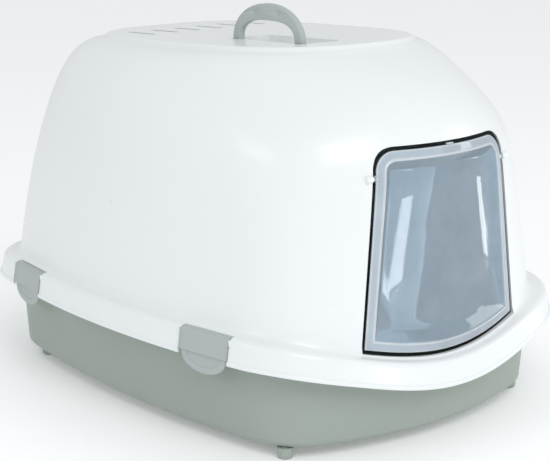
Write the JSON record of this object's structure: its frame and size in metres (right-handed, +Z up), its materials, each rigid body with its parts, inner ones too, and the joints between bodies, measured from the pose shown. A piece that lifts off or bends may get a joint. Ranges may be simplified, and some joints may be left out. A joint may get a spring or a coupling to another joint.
{
  "type": "hooded cat litter box",
  "caption": "Covered cat litter tray with a clip-on hood, a see-through swing door, a fold-down carrying handle and vent slots over an odour filter.",
  "frame": {"origin": "on the floor, under the middle of the box", "axes": "+Z up, the door faces -Y, +Y runs along the box to its rear, +X to the right seen from the door side looking along +Y"},
  "size_m": [0.556, 0.716, 0.5131],
  "materials": {
    "white_plastic": "smooth moulded, soft gloss",
    "sage_plastic": "fine satin texture",
    "smoke_plastic": "clear, smoke-blue tint",
    "clear_plastic": "frosted clear",
    "pin_plastic": "smooth moulded",
    "charcoal_foam": "open felted foam"
  },
  "bodies": {
    "box": {"hood": "white_plastic", "tray": "sage_plastic", "foot_front_left": "sage_plastic", "foot_front_right": "sage_plastic", "foot_rear_left": "sage_plastic", "foot_rear_right": "sage_plastic", "handle_pin_front": "pin_plastic", "handle_pin_rear": "pin_plastic", "filter_mat": "charcoal_foam", "filter_holder": "white_plastic", "clip_pin_front_left": "pin_plastic", "clip_pin_front_right": "pin_plastic", "clip_pin_rear_left": "pin_plastic", "clip_pin_rear_right": "pin_plastic"},
    "flap": {"flap": "smoke_plastic", "flap_pin_left": "clear_plastic", "flap_pin_right": "clear_plastic", "flap_nub": "clear_plastic"},
    "handle": {"handle": "sage_plastic"},
    "clip_front_left": {"clip_front_left": "sage_plastic"},
    "clip_front_right": {"clip_front_right": "sage_plastic"},
    "clip_rear_left": {"clip_rear_left": "sage_plastic"},
    "clip_rear_right": {"clip_rear_right": "sage_plastic"}
  },
  "joints": [
    {"name": "flap_swing", "type": "hinge", "parent": "box", "child": "flap", "pos_m": [0, -0.30929, 0.333], "axis": [1, 0, 0], "range_deg": [-75, 75]},
    {"name": "handle_fold", "type": "hinge", "parent": "box", "child": "handle", "pos_m": [-0.066, -0.07414, 0.46062], "axis": [0, 0.9992, -0.04], "range_deg": [0, 90]},
    {"name": "clip_front_left_swing", "type": "hinge", "parent": "box", "child": "clip_front_left", "pos_m": [-0.25282, -0.18248, 0.1456], "axis": [-0.1449, 0.9894, 0], "range_deg": [0, 100]},
    {"name": "clip_front_right_swing", "type": "hinge", "parent": "box", "child": "clip_front_right", "pos_m": [0.25282, -0.18248, 0.1456], "axis": [-0.1449, -0.9894, 0], "range_deg": [0, 100]},
    {"name": "clip_rear_left_swing", "type": "hinge", "parent": "box", "child": "clip_rear_left", "pos_m": [-0.25519, 0.2016, 0.1456], "axis": [0.1329, 0.9911, 0], "range_deg": [0, 100]},
    {"name": "clip_rear_right_swing", "type": "hinge", "parent": "box", "child": "clip_rear_right", "pos_m": [0.25519, 0.2016, 0.1456], "axis": [0.1329, -0.9911, 0], "range_deg": [0, 100]}
  ]
}
